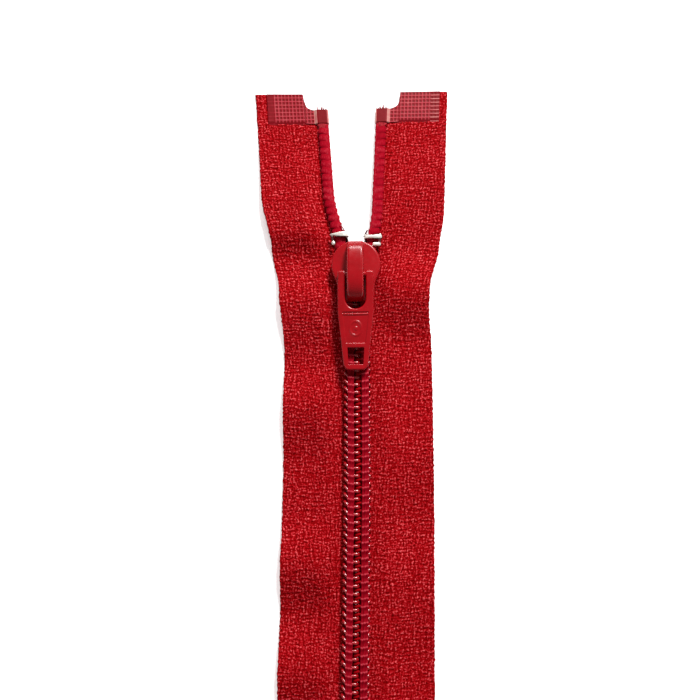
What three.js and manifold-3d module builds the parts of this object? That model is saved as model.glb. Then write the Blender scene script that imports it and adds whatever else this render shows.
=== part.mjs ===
// Separating nylon-coil zipper, size 5, lying face up. Units are millimetres, +Z is up.
// The chain runs along Y: the retainer box is at y = 0 and the open tape tops at y = TAPE_LENGTH.
// Local X = 0 is the closed chain's centre line. The last line moves the whole group onto its box centre.
import * as THREE from 'three';
import Module from 'manifold-3d';

// ---- driving dimensions -------------------------------------------------------------------------
const TAPE_LENGTH = 182;
const TAPE_WIDTH = 14.55;
const TAPE_THICK = 0.5;
const TAPE_GAP_HALF = 0.3;        // from the centre line to the inner edge of a closed tape
const CHAIN_Z = 1.0;              // underside of the tape along the chain
const MARGIN_Z = 0.1;             // underside of the tape along its sewing margin
const SHOULDER_IN = 5.2;          // where the tape starts to fall towards the margin
const SHOULDER_OUT = 8.2;
const RELAX_START = 152;          // above this the whole tape sinks to margin height
const RELAX_LENGTH = 20;
const RELAXED_Z = 0.2;           // underside of the chain side once it has sunk
const NOTCH_WIDTH = 4.9;
const NOTCH_DEPTH = 3.8;

const SLIDER_TOP = 148;           // mouth end of the slider when the zipper is closed
const SLIDER_LENGTH = 12.6;
const SLIDER_HALF = 4.95;
const TAIL_HALF = 3.75;
const ARCH_DEPTH = 5;
const LOWER_WING = [0, 0.85];
const UPPER_WING = [3.75, 4.75];
const FLANGE_BOTTOM = 1.78;

const WIRE = 0.57;                // coil filament
const PITCH = 1.5;
const TURNS = 87;
const COIL_START = 15;
const COIL_OUTER = 3.0;
const COIL_HEAD = 0.75;
const LOWER_LEG_Z = 1.83;
const UPPER_LEG_Z = 3.11;

const STITCH_Z = [3.44, 3.58];
const STOP_FROM = -0.9;           // measured from the slider's mouth end
const STOP_LENGTH = 3.5;

const FILM = 0.08;
const FILM_GAP = 0.01;
const FILM_PRESS = 0.05;          // how far the films press into each side of the tape
const TOP_FILM_LENGTH = 6.9;
const TOP_FILM_START = TAPE_LENGTH - TOP_FILM_LENGTH;
const BOTTOM_FILM_LENGTH = 26;
const FILM_BARE_LEFT = 2.9;       // outer strip the top film leaves uncovered
const FILM_BARE_RIGHT = 1.2;

const BOX_LENGTH = 7.5;
const BOX_HALF = 4.2;
const BOX_HEIGHT = 4.1;
const PIN_TOP = 14.6;
const PIN_X = [0.6, 2.75];
const PIN_Z = [1.52, 3.4];

const PIVOT_S = -7.4;             // pull tab pivot, measured from the slider's mouth end
const PIVOT_Z = 5.85;
const BAR_RADIUS = 0.55;
const TAB_LENGTH = 19.3;
const TAB_HALF = 3.6;
const TAB_TIP_HALF = 2.35;
const TAB_THICK = 1.2;
const TAB_TILT = 4.4;
const SLOT_HALF = 2.07;
const SLOT_LENGTH = 7;
const CROWN_WIDTH = 3.3;

// How each tape runs above the slider: opening inside the slider, extra opening above it, and slope.
const RUN = {
  left: { side: -1, throat: 1.8, spread: 1.7, over: 12, slope: 0.08, flare: 0.45, bare: FILM_BARE_LEFT },
  right: { side: 1, throat: 1.8, spread: 0.8, over: 8, slope: 0.045, flare: -0.2, bare: FILM_BARE_RIGHT },
};

// ---- colours ------------------------------------------------------------------------------------
const FABRIC_RED = new THREE.MeshStandardMaterial({ color: 0xa5141c, roughness: 0.95 });
const THREAD_RED = new THREE.MeshStandardMaterial({ color: 0xa8161e, roughness: 0.85 });
const NYLON_RED = new THREE.MeshStandardMaterial({ color: 0xb01820, roughness: 0.35 });
const CORD_RED = new THREE.MeshStandardMaterial({ color: 0x9c1a20, roughness: 0.9 });
const FILM_PINK = new THREE.MeshStandardMaterial({ color: 0xb03a42, roughness: 0.3 });
const PAINT_RED = new THREE.MeshStandardMaterial({ color: 0xac1b22, roughness: 0.35, metalness: 0.1 });
const SILVER = new THREE.MeshStandardMaterial({ color: 0xc8c8ca, roughness: 0.3, metalness: 1 });
const SPRING_STEEL = new THREE.MeshStandardMaterial({ color: 0x9a9a9e, roughness: 0.35, metalness: 1 });

// ---- helpers ------------------------------------------------------------------------------------
const wasm = await Module();
wasm.setup();

const clamp = (t) => Math.min(1, Math.max(0, t));

const smooth = (t) => {
  const k = clamp(t);
  return k * k * (3 - 2 * k);
};

// Distance from the centre line to a tape's inner edge at height y.
function edgeAt(run, y) {
  const s = y - SLIDER_TOP;
  const inside = run.throat * smooth((s + 9) / 9);
  const above = run.spread * smooth((s + 1) / run.over);
  return TAPE_GAP_HALF + inside + above + run.slope * Math.max(0, s);
}

function widthAt(run, y) {
  return TAPE_WIDTH + run.flare * smooth((y - SLIDER_TOP + 20) / 18);
}

// Underside of the tape at distance u from its inner edge.
function tapeZ(u, y) {
  const fall = smooth((y - RELAX_START) / RELAX_LENGTH);
  const chain = CHAIN_Z + (RELAXED_Z - CHAIN_Z) * fall;
  return chain + (MARGIN_Z - chain) * clamp((u - SHOULDER_IN) / (SHOULDER_OUT - SHOULDER_IN));
}

// The tape is thinner where the end films are pressed on: below and above these heights.
function pressAt(y) {
  const low = 1 - clamp((y - BOTTOM_FILM_LENGTH) / 0.3);
  const high = clamp((y - TOP_FILM_START + 0.4) / 0.3);
  return FILM_PRESS * (low + high);
}

function notchAt(u) {
  const k = clamp(u / NOTCH_WIDTH);
  return NOTCH_DEPTH * Math.pow(1 - k ** 4, 0.25);
}

function place(run, u, y, z) {
  return [run.side * (edgeAt(run, y) + u), y, z];
}

function toManifold(positions, faces) {
  const mesh = new wasm.Mesh({
    numProp: 3,
    vertProperties: new Float32Array(positions.flat()),
    triVerts: new Uint32Array(faces.flat()),
  });
  return new wasm.Manifold(mesh);
}

function fromManifold(solid) {
  const mesh = solid.getMesh();
  const geometry = new THREE.BufferGeometry();
  geometry.setAttribute('position', new THREE.BufferAttribute(new Float32Array(mesh.vertProperties), 3));
  geometry.setIndex(new THREE.BufferAttribute(new Uint32Array(mesh.triVerts), 1));
  return geometry;
}

function signedVolume(points, faces) {
  let total = 0;
  for (const [a, b, c] of faces) {
    const [p, q, r] = [points[a], points[b], points[c]];
    total += p[0] * (q[1] * r[2] - q[2] * r[1]);
    total += p[1] * (q[2] * r[0] - q[0] * r[2]);
    total += p[2] * (q[0] * r[1] - q[1] * r[0]);
  }
  return total;
}

// Closed solid through equal rings of points. Point j of a ring faces point n - 1 - j across its
// thickness, so each end is closed by a strip of faces between the two halves of the ring.
function skin(rings) {
  const n = rings[0].length;
  const points = rings.flat();
  const faces = [];
  for (let i = 0; i + 1 < rings.length; i += 1) {
    for (let j = 0; j < n; j += 1) {
      const a = i * n + j;
      const b = i * n + ((j + 1) % n);
      faces.push([a, b, b + n], [a, b + n, a + n]);
    }
  }
  const last = (rings.length - 1) * n;
  for (let j = 0; j + 1 < n / 2; j += 1) {
    const [p, q] = [n - 1 - j, n - 2 - j];
    faces.push([j + 1, j, p], [j + 1, p, q]);
    faces.push([last + j, last + j + 1, last + p], [last + j + 1, last + q, last + p]);
  }
  const outward = signedVolume(points, faces) < 0 ? faces.map(([a, b, c]) => [a, c, b]) : faces;
  return toGeometry(points, outward);
}

function toGeometry(points, faces) {
  const geometry = new THREE.BufferGeometry();
  geometry.setAttribute('position', new THREE.Float32BufferAttribute(points.flat(), 3));
  geometry.setIndex(faces.flat());
  return geometry;
}

function solidOf(geometry) {
  const position = geometry.getAttribute('position');
  const seen = new Map();
  const points = [];
  const remap = [];
  for (let i = 0; i < position.count; i += 1) {
    const p = [position.getX(i), position.getY(i), position.getZ(i)];
    const key = p.map((v) => Math.round(v * 1e4)).join(' ');
    if (!seen.has(key)) {
      seen.set(key, points.length);
      points.push(p);
    }
    remap.push(seen.get(key));
  }
  const order = geometry.index ? Array.from(geometry.index.array) : remap.map((_, i) => i);
  const faces = [];
  for (let i = 0; i < order.length; i += 3) {
    const [a, b, c] = [remap[order[i]], remap[order[i + 1]], remap[order[i + 2]]];
    if (a !== b && b !== c && a !== c) faces.push([a, b, c]);
  }
  return toManifold(points, faces);
}

// Flat outline [x, y] pulled up in Z between two heights.
function prism(outline, [low, high], bevel = 0) {
  const shape = new THREE.Shape(outline.map(([x, y]) => new THREE.Vector2(x, y)));
  const geometry = new THREE.ExtrudeGeometry(shape, {
    depth: high - low - 2 * bevel,
    bevelEnabled: bevel > 0,
    bevelThickness: bevel,
    bevelSize: bevel,
    bevelOffset: -bevel,
    bevelSegments: 1,
  });
  geometry.translate(0, 0, low + bevel);
  return solidOf(geometry);
}

// Side profile [y, z] pulled across X, centred on X = 0.
function across(profile, width) {
  const outline = profile.map(([y, z]) => new THREE.Vector2(y, z));
  const shape = new THREE.Shape(outline);
  const geometry = new THREE.ExtrudeGeometry(shape, { depth: width, bevelEnabled: false });
  geometry.translate(0, 0, -width / 2);
  geometry.applyMatrix4(new THREE.Matrix4().set(0, 0, 1, 0, 1, 0, 0, 0, 0, 1, 0, 0, 0, 0, 0, 1));
  return solidOf(geometry);
}

function block([x0, x1], [y0, y1], [z0, z1]) {
  return prism([[x0, y0], [x1, y0], [x1, y1], [x0, y1]], [z0, z1]);
}

function mesh(name, geometry, material) {
  const part = new THREE.Mesh(geometry, material);
  part.name = name;
  return part;
}

// Heights along a tape: one long straight run, then close steps where the tape opens and sinks.
function stations(from, to) {
  const marks = [0, 128, 137];
  for (let y = 139; y <= 156; y += 1.7) marks.push(y);
  for (let y = 159; y < TOP_FILM_START; y += 4.2) marks.push(y);
  const inner = marks.filter((y) => y > from + 0.3 && y < to - 0.3);
  return [from, ...inner, to];
}

// ---- tapes, film, cord and stitches -------------------------------------------------------------
function tape(name, run) {
  const us = [0, 1.6, 3.2, 4.3, 4.75, NOTCH_WIDTH, SHOULDER_IN, SHOULDER_OUT, TAPE_WIDTH];
  const section = [...us.map((u) => [u, 0]), ...us.toReversed().map((u) => [u, 1])];
  const low = [BOTTOM_FILM_LENGTH, BOTTOM_FILM_LENGTH + 0.3];
  const high = [TOP_FILM_START - 0.4, TOP_FILM_START - 0.1];
  const ys = [...stations(0, TAPE_LENGTH), ...low, ...high].sort((a, b) => a - b);
  const rings = ys.map((y) => {
    const cut = smooth((y - 170) / (TAPE_LENGTH - 170));
    const press = pressAt(y);
    return section.map(([u, top]) => {
      const reach = u === TAPE_WIDTH ? widthAt(run, y) : u;
      const z = tapeZ(u, y) + (top ? TAPE_THICK - press : press);
      return place(run, reach, y - notchAt(u) * cut, z);
    });
  });
  return mesh(name, skin(rings), FABRIC_RED);
}

// The film at the open end folds round the tape's inner edge and over its flattened cord.
function topFilm(name, run) {
  const us = [TAPE_WIDTH - run.bare, SHOULDER_OUT, SHOULDER_IN, NOTCH_WIDTH, 4.75, 4.3];
  const lift = TAPE_THICK - FILM_PRESS + FILM_GAP;
  const drop = FILM_PRESS - FILM_GAP;
  const bead = cordAt(TAPE_LENGTH);
  const over = bead.z + bead.half + 0.02;
  const at = (u, z) => [u, tapeZ(u, TAPE_LENGTH) + z];
  const inTop = [...us.map((u) => at(u, lift)), at(2.75, lift), [2.4, over], [-0.05, over]];
  const inside = [...inTop, at(-0.05, drop), at(2.4, drop), ...us.toReversed().map((u) => at(u, drop))];
  const outTop = [...us.map((u) => at(u, lift + FILM)), at(2.79, lift + FILM), [2.44, over + FILM]];
  const round = [[-0.13, over + FILM], at(-0.13, drop - FILM), at(2.4, drop - FILM)];
  const outside = [...outTop, ...round, ...us.toReversed().map((u) => at(u, drop - FILM))];
  const section = [...inside, ...outside.toReversed()];
  const rings = [TOP_FILM_START, TOP_FILM_START + 2.8, TAPE_LENGTH].map((y, k) => section.map(([u, z]) => {
    const cut = [0, 0.6, 1][k];
    return place(run, u, y - notchAt(u) * cut, z);
  }));
  return mesh(name, skin(rings), FILM_PINK);
}

// The long reinforcing film at the box end folds round the tape's outer edge.
function bottomFilm(name, run) {
  const us = [4.3, SHOULDER_IN, SHOULDER_OUT];
  const lift = TAPE_THICK - FILM_PRESS + FILM_GAP;
  const drop = FILM_PRESS - FILM_GAP;
  const fold = TAPE_WIDTH + 0.02;
  const layer = (z, end) => [...us, end].map((u) => [u, tapeZ(u, 0) + z]);
  const inside = [...layer(lift, fold), ...layer(drop, fold).toReversed()];
  const skinned = [...layer(lift + FILM, fold + FILM), ...layer(drop - FILM, fold + FILM).toReversed()];
  const section = [...inside, ...skinned.toReversed()];
  const rings = [0, BOTTOM_FILM_LENGTH].map((y) => section.map(([u, z]) => place(run, u, y, z)));
  return mesh(name, skin(rings), FILM_PINK);
}

// Shape of the core cord at height y: centre, half width and half height.
function cordAt(y) {
  const leave = smooth((y - 146.3) / 0.7);
  const press = smooth((y - TOP_FILM_START + 1.2) / 1.1);
  const half = 0.31 + 0.18 * leave - 0.29 * press;
  const seat = tapeZ(0, y) + TAPE_THICK + 0.02 + half;
  const z = 2.47 + (seat - 2.47) * leave;
  const u = 1.08 + 0.02 * leave + 0.05 * press;
  const wide = 0.56 + 0.44 * leave + 0.1 * press;
  return { u, z, wide, half };
}

function cord(name, run) {
  const section = [0, 1, 2, 3, 4, 5].map((k) => {
    const angle = (k * Math.PI) / 3;
    return [Math.cos(angle), Math.sin(angle) / Math.sin(Math.PI / 3)];
  });
  const press = [TOP_FILM_START - 1.2, TOP_FILM_START - 0.65, TOP_FILM_START - 0.1];
  const leave = [146.3, 146.65, 147];
  const ys = [...stations(14.75, TAPE_LENGTH - NOTCH_DEPTH - 0.1), ...leave, ...press].sort((a, b) => a - b);
  const rings = ys.map((y) => {
    const c = cordAt(y);
    return section.map(([a, b]) => place(run, c.u + c.wide * a, y, c.z + c.half * b));
  });
  return mesh(name, skin(rings), CORD_RED);
}

// The rows of stitches that hold the coil down, kept as one thin ribbon over coil and cord.
function stitching(name, run) {
  const section = [[0.6, 0], [1.6, 0], [1.6, 1], [0.6, 1]];
  const lead = [146.5, 146.75, 147];
  const ys = [...stations(COIL_START, TOP_FILM_START - 1.4), ...lead].sort((a, b) => a - b);
  const thick = STITCH_Z[1] - STITCH_Z[0];
  const rings = ys.map((y) => {
    const drop = smooth((y - 146.5) / 0.5);
    const c = cordAt(y);
    const bead = c.z + c.half + 0.02;
    const low = STITCH_Z[0] + (bead - STITCH_Z[0]) * drop;
    return section.map(([u, k]) => place(run, u, y, low + thick * k));
  });
  return mesh(name, skin(rings), THREAD_RED);
}

// ---- coil ---------------------------------------------------------------------------------------
// One turn: over the top from the head outwards, round the outer bend while climbing one pitch, back in.
function coilPath(first) {
  const mid = (LOWER_LEG_Z + UPPER_LEG_Z) / 2;
  const reach = (UPPER_LEG_Z - LOWER_LEG_Z) / 2;
  const tip = (WIRE / 2) * Math.SQRT2;
  const outerTip = COIL_OUTER - tip - TAPE_GAP_HALF;
  const headTip = -(COIL_HEAD - tip) - TAPE_GAP_HALF;
  const path = [];
  for (let i = 0; i < TURNS; i += 1) {
    const y = first + i * PITCH;
    path.push([headTip, y, mid]);
    path.push([headTip + reach, y, UPPER_LEG_Z]);
    path.push([outerTip - reach, y, UPPER_LEG_Z]);
    path.push([outerTip, y + PITCH / 2, mid]);
    path.push([outerTip - reach, y + PITCH, LOWER_LEG_Z]);
    path.push([headTip + reach, y + PITCH, LOWER_LEG_Z]);
  }
  path.pop();
  return path;
}

function coil(name, run, first) {
  const path = coilPath(first);
  const section = [[-1, -1], [1, -1], [1, 1], [-1, 1]];
  const half = WIRE / 2;
  const rings = path.map((p, i) => {
    const before = path[Math.max(0, i - 1)];
    const after = path[Math.min(path.length - 1, i + 1)];
    const d1 = new THREE.Vector2(p[0] - before[0], p[2] - before[2]).normalize();
    const d2 = new THREE.Vector2(after[0] - p[0], after[2] - p[2]).normalize();
    const dir = d1.clone().add(d2).normalize();
    const stretch = 1 / Math.max(0.7, dir.dot(i ? d1 : d2));
    return section.map(([a, b]) => {
      const u = p[0] - dir.y * a * half * stretch;
      const z = p[2] + dir.x * a * half * stretch;
      return place(run, u, p[1] + b * half, z);
    });
  });
  return mesh(name, skin(rings), NYLON_RED);
}

// ---- metal ends ---------------------------------------------------------------------------------
// Wire crimped round the bead: a C section with two ridges and a groove between them.
function topStop(name, run) {
  const outer = [[3.1, 2.9], [2.75, 3.5], [-0.3, 3.5], [-0.7, 3.1], [-0.7, 0.6], [-0.4, 0.3], [2.9, 0.3]];
  const inner = [
    [3.05, 1.9], [2.6, 2.72], [-0.1, 2.72], [-0.15, 2.6], [-0.15, 1.05], [-0.1, 0.94], [2.9, 0.94],
  ];
  const outline = [...outer.map((p) => [...p, 1]), ...inner.toReversed().map((p) => [...p, 0])];
  const steps = [0, 0.15, 1.45, 1.6, 1.9, 2.05, 3.35, STOP_LENGTH];
  const inset = [0.15, 0, 0, 0.22, 0.22, 0, 0, 0.15];
  const rings = steps.map((step, k) => outline.map(([u, z, isOuter]) => {
    const y = SLIDER_TOP + STOP_FROM + step;
    const du = isOuter && u < 0 ? inset[k] : 0;
    const dz = isOuter ? (z > 2 ? -inset[k] : inset[k]) : 0;
    return place(run, u + du, y, z + dz);
  }));
  return mesh(name, skin(rings), SILVER);
}

function pin(name, side) {
  const [x0, x1] = PIN_X;
  const [z0, z1] = PIN_Z;
  const outline = (k) => [
    [x0 + k, z0], [x1 - k, z0], [x1 - k, z1 - 0.5 - k], [x1 - 0.5 - k, z1 - k],
    [x0 + 0.5 + k, z1 - k], [x0 + k, z1 - 0.5 - k],
  ];
  const steps = [[0.95, 0], [PIN_TOP - 1.2, 0], [PIN_TOP, 0.3]];
  const rings = steps.map(([y, k]) => outline(k).map(([x, z]) => [side * x, y, z]));
  return mesh(name, skin(rings), SILVER);
}

function retainerBox() {
  const h = BOX_HALF;
  const rim = 0.5;
  const outline = [
    [-h + rim, 0], [h - rim, 0], [h, rim], [h, BOX_LENGTH - rim], [h - rim, BOX_LENGTH],
    [-h + rim, BOX_LENGTH], [-h, BOX_LENGTH - rim], [-h, rim],
  ];
  let body = prism(outline, [0, BOX_HEIGHT], 0.3);
  for (const side of [-1, 1]) {
    const slot = [Math.min(side * 0.25, side * 6), Math.max(side * 0.25, side * 6)];
    const well = [Math.min(side * 0.5, side * 2.87), Math.max(side * 0.5, side * 2.87)];
    body = body.subtract(block(slot, [-1, BOX_LENGTH + 1], [0.85, 1.7]));
    body = body.subtract(block(well, [0.8, BOX_LENGTH + 1], [1.3, 3.52]));
  }
  return mesh('retainer_box', fromManifold(body), SILVER);
}

// ---- slider -------------------------------------------------------------------------------------
// Half width of a wing at distance s from the mouth end; `mouth` is where that wing's arch starts.
function wingHalf(s, mouth) {
  const arch = ARCH_DEPTH + mouth;
  if (s > -ARCH_DEPTH) {
    const k = (s + ARCH_DEPTH) / arch;
    return SLIDER_HALF * Math.pow(Math.max(0, 1 - Math.pow(k, 2.2)), 1 / 2.2);
  }
  const waist = smooth((-s - 5.4) / 4.2);
  const end = Math.max(0, -s - SLIDER_LENGTH + 0.8) / 0.8;
  return SLIDER_HALF + (TAIL_HALF - SLIDER_HALF) * waist - 0.7 * end * end;
}

function wingOutline(mouth) {
  const arch = ARCH_DEPTH + mouth;
  const marks = [0.02, 0.09, 0.19, 0.32, 0.5, 0.75, 1].map((k) => mouth - arch * k);
  const lower = [-5.7, -6.6, -7.5, -8.4, -9.6, -11.8, -12.2, -SLIDER_LENGTH];
  const right = [...marks, ...lower].map((s) => [wingHalf(s, mouth), SLIDER_TOP + s]);
  const left = right.toReversed().map(([x, y]) => [-x, y]);
  return [[0, SLIDER_TOP + mouth], ...right, ...left].toReversed();
}

function flange(side) {
  const inner = [[4.28, -3.8], [4.0, -4.9], [3.65, -6], [3.3, -7.2], [3.16, -8.4], [3.16, -12.3]];
  const marks = [-12.3, -9.6, -8.4, -7.5, -6.6, -5.7, -5, -4.4, -3.8];
  const outer = marks.map((s) => [wingHalf(s, 0) - 0.06, s]);
  const outline = [...inner, ...outer].map(([x, s]) => [side * x, SLIDER_TOP + s]);
  const ordered = side > 0 ? outline.toReversed() : outline;
  return prism(ordered, [FLANGE_BOTTOM, UPPER_WING[0] + 0.3]);
}

function sliderBody() {
  const at = (outline) => outline.map(([x, s]) => [x, SLIDER_TOP + s]);
  const wedge = at([[0, -4.9], [0.92, -1.1], [0.8, -0.5], [-0.8, -0.5], [-0.92, -1.1]]);
  const root = at([[0, -4.9], [0.92, -1.7], [0.8, -1.5], [-0.8, -1.5], [-0.92, -1.7]]);
  let body = prism(wingOutline(0), UPPER_WING, 0.22);
  body = body.add(prism(wingOutline(-1.35), LOWER_WING, 0.15));
  body = body.add(prism(wedge, [2.3, 4.2]));
  body = body.add(prism(root, [0.4, 2.5]));
  body = body.add(flange(-1)).add(flange(1));
  const hole = [SLIDER_TOP - 11.6, SLIDER_TOP - 10.6];
  body = body.subtract(block([-0.55, 0.55], hole, [3, 6]));
  return mesh('slider_body', fromManifold(body), PAINT_RED);
}

// Hollow bridge over the pull tab's bar; its side walls are cut away where the bar passes.
function crownCap() {
  const at = (profile) => profile.map(([s, z]) => [SLIDER_TOP + s, z]);
  const foot = UPPER_WING[1] + 0.01;
  const shell = at([
    [-0.35, foot], [-0.4, 5.7], [-0.8, 6.6], [-1.6, 7.4], [-2.8, 7.95], [-4.6, 8.2],
    [-8.8, 8.15], [-10.4, 7.8], [-11.6, 7.1], [-12.4, 6.1], [-12.75, foot],
  ]);
  const hollow = at([
    [-1.2, 4], [-1.2, 5.9], [-1.8, 6.8], [-3.0, 7.4], [-4.6, 7.6],
    [-8.8, 7.55], [-10.3, 7.2], [-11.2, 6.6], [-11.8, 5.8], [-11.95, 4],
  ]);
  let body = across(shell.toReversed(), CROWN_WIDTH);
  body = body.subtract(across(hollow.toReversed(), CROWN_WIDTH - 1));
  const gap = [SLIDER_TOP + PIVOT_S - 0.75, SLIDER_TOP + PIVOT_S + 0.75];
  body = body.subtract(block([-3, 3], gap, [4, PIVOT_Z + 0.72]));
  return mesh('crown_cap', fromManifold(body), PAINT_RED);
}

// Leaf spring inside the crown with the locking tooth that reaches through the upper wing.
function lockSpring() {
  const at = (profile) => profile.map(([s, z]) => [SLIDER_TOP + s, z]);
  const leaf = at([
    [-3.2, 6.62], [-9.6, 6.62], [-10.9, 5.3], [-11.25, 5.3], [-11.25, 5.75], [-9.7, 6.82], [-3.2, 6.82],
  ]);
  const tooth = at([[-10.9, 5.6], [-10.9, 3.9], [-11.1, 3.5], [-11.25, 3.5], [-11.25, 5.6]]);
  const body = across(leaf.toReversed(), 1.7).add(across(tooth.toReversed(), 0.8));
  return mesh('lock_spring', fromManifold(body), SPRING_STEEL);
}

// Pull tab in its own frame: v runs from the pivot to the tip, w is its thickness direction.
function pullTab() {
  const half = (v) => TAB_HALF + (TAB_TIP_HALF - TAB_HALF) * Math.max(0, (v - 7.6) / (TAB_LENGTH - 7.6));
  const side = [[2.9, -0.8], [3.35, -0.65], [TAB_HALF, -0.2]];
  for (const v of [7.6, 13, 18.3]) side.push([half(v), v]);
  side.push([TAB_TIP_HALF - 0.3, 18.95], [TAB_TIP_HALF - 0.9, TAB_LENGTH]);
  const slot = [];
  for (let k = 0; k <= 4; k += 1) {
    const angle = (k * Math.PI) / 8;
    slot.push([SLOT_HALF * Math.sin(angle), SLOT_LENGTH - SLOT_HALF + SLOT_HALF * Math.cos(angle)]);
  }
  const right = [...slot, [SLOT_HALF, -0.8], ...side];
  const outline = [...right, ...right.toReversed().map(([x, v]) => [-x, v])].map(([x, v]) => [x, -v]);
  const corners = [[1.6, 14.9], [1.45, 18.2], [-1.45, 18.2], [-1.6, 14.9]].map(([x, v]) => [x, -v]);
  const span = [-TAB_THICK / 2, TAB_THICK / 2];
  let body = prism(openRing(outline), span);
  body = body.subtract(prism(corners.toReversed(), [-2, 2]));
  body = body.subtract(block([-2.6, 2.6], [-13.8, -8.4], [TAB_THICK / 2 - 0.15, 2]));
  body = body.subtract(block([-4, 4], [-7.9, -7.65], [TAB_THICK / 2 - 0.12, 2]));
  const bar = wasm.Manifold.cylinder(2 * SLOT_HALF + 0.4, BAR_RADIUS, BAR_RADIUS, 14, true);
  body = body.add(bar.rotate([0, 90, 0]));
  body = body.rotate([TAB_TILT, 0, 0]).translate([0, SLIDER_TOP + PIVOT_S, PIVOT_Z]);
  return mesh('pull_tab', fromManifold(body), PAINT_RED);
}

// Drops the doubled point where the mirrored halves of an outline meet.
function openRing(outline) {
  const same = (p, q) => Math.abs(p[0] - q[0]) < 1e-6 && Math.abs(p[1] - q[1]) < 1e-6;
  const kept = outline.filter((p, i) => i === 0 || !same(p, outline[i - 1]));
  if (same(kept[0], kept[kept.length - 1])) kept.pop();
  return kept;
}

// ---- assembly -----------------------------------------------------------------------------------
const zipper = new THREE.Group();
zipper.name = 'zipper';
for (const [name, run] of Object.entries(RUN)) {
  zipper.add(tape(`${name}_tape`, run));
  zipper.add(coil(`${name}_coil`, run, COIL_START + (run.side > 0 ? PITCH / 2 : 0)));
  zipper.add(cord(`${name}_core_cord`, run));
  zipper.add(stitching(`${name}_stitching`, run));
  zipper.add(topStop(`${name}_top_stop`, run));
  zipper.add(topFilm(`${name}_top_film`, run));
  zipper.add(bottomFilm(`${name}_bottom_film`, run));
}
zipper.add(pin('insertion_pin', -1));
zipper.add(pin('box_pin', 1));
zipper.add(retainerBox());
zipper.add(sliderBody());
zipper.add(crownCap());
zipper.add(lockSpring());
zipper.add(pullTab());

// Put the origin at the centre of the bounding box, on the table.
const bounds = new THREE.Box3().setFromObject(zipper);
const middle = bounds.getCenter(new THREE.Vector3());
for (const part of zipper.children) {
  part.geometry.translate(-middle.x, -middle.y, -bounds.min.z);
}

export default zipper;
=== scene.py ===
"""Looks for a separating coil zipper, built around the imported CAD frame.

Builders work in millimetres in the zipper's own frame: x = 0 is the closed chain's centre line,
y = 0 is the end of the retainer box and z = 0 is the table. place_mesh() moves the result to where
the CAD says the slider is and turns it into metres.
"""
import math

import bpy
import numpy as np
from mathutils import Matrix, Vector

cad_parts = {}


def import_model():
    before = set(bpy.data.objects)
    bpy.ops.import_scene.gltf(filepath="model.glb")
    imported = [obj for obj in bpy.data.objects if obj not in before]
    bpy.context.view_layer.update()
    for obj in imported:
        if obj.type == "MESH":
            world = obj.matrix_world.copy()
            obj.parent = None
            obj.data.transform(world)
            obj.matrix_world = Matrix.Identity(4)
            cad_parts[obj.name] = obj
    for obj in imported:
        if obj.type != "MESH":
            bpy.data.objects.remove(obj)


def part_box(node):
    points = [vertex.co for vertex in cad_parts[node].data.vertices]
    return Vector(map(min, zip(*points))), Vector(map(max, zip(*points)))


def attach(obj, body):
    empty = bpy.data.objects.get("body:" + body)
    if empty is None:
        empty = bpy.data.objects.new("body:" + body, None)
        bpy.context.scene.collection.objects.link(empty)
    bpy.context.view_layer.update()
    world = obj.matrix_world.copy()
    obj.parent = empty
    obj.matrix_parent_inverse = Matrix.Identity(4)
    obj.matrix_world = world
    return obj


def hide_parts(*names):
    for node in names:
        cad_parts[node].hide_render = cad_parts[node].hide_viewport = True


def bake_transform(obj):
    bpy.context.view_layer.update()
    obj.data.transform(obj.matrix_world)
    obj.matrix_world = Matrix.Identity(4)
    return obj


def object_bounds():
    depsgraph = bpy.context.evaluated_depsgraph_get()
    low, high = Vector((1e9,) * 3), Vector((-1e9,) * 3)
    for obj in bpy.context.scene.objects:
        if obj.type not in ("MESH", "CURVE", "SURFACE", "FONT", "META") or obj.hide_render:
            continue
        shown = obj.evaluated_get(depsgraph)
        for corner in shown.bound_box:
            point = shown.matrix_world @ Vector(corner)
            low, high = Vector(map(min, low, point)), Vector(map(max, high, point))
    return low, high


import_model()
cad_box = [list(corner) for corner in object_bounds()]

# ---- dimensions, in millimetres ----
MM = 1000  # millimetres in a metre
LENGTH = 182.0
WIDTH = 14.55
THICK = 0.5
EDGE = 0.3  # from the centre line to a closed tape's inner edge
THROAT = 1.8  # how far each tape's edge stands off inside the slider
MOUTH = 148.0  # slider's mouth end along y
CHAIN_Z = 1.0  # underside of the tape at the closed chain
MARGIN_Z = 0.1  # underside of the tape's loose outer margin
RELAXED_Z = 0.2  # underside of the tape at its inner edge, above the slider
NOTCH_WIDTH = 4.9
NOTCH_DEPTH = 3.8
PITCH = 1.5
TURNS = 87
COIL_START = 15.0
WIRE = 0.285  # filament radius
LEG_LOW = 1.83  # heights of the filament's axis in its lower and upper legs
LEG_HIGH = 3.11
COIL_OUTER = 3.0  # from the centre line to the coil's outer side
COIL_HEAD = 0.75  # how far the heads reach past the centre line
COIL_SPARE = 0.1  # how far the filament stays inside the coil's outer side
HEAD_DIP = 0.36  # how much lower the right coil's heads lie
CORD_Z = (LEG_LOW + LEG_HIGH) / 2
ROW_Z = 3.47  # height of the thread rows over the legs
BEAD_START = 146.3  # along y, where the core cord leaves the coil and becomes the bead
ROWS_END = 147.4
WINDING_START = 147.6
TOP_FILM = 6.9  # lengths of the end films along y
BOTTOM_FILM = 26.0
FILM_THICK = 0.08
GRID_RISE = 0.045  # height, then pitches, of the grid pressed into the films
GRID_ACROSS = 0.75
GRID_ALONG = 0.83
CUT_FIBRES = 9
PIVOT = (-7.4, 5.85)  # pull tab pivot: distance from the mouth end, height
TAB_TILT = math.radians(4.4)
TAB_LENGTH = 19.3

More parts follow.
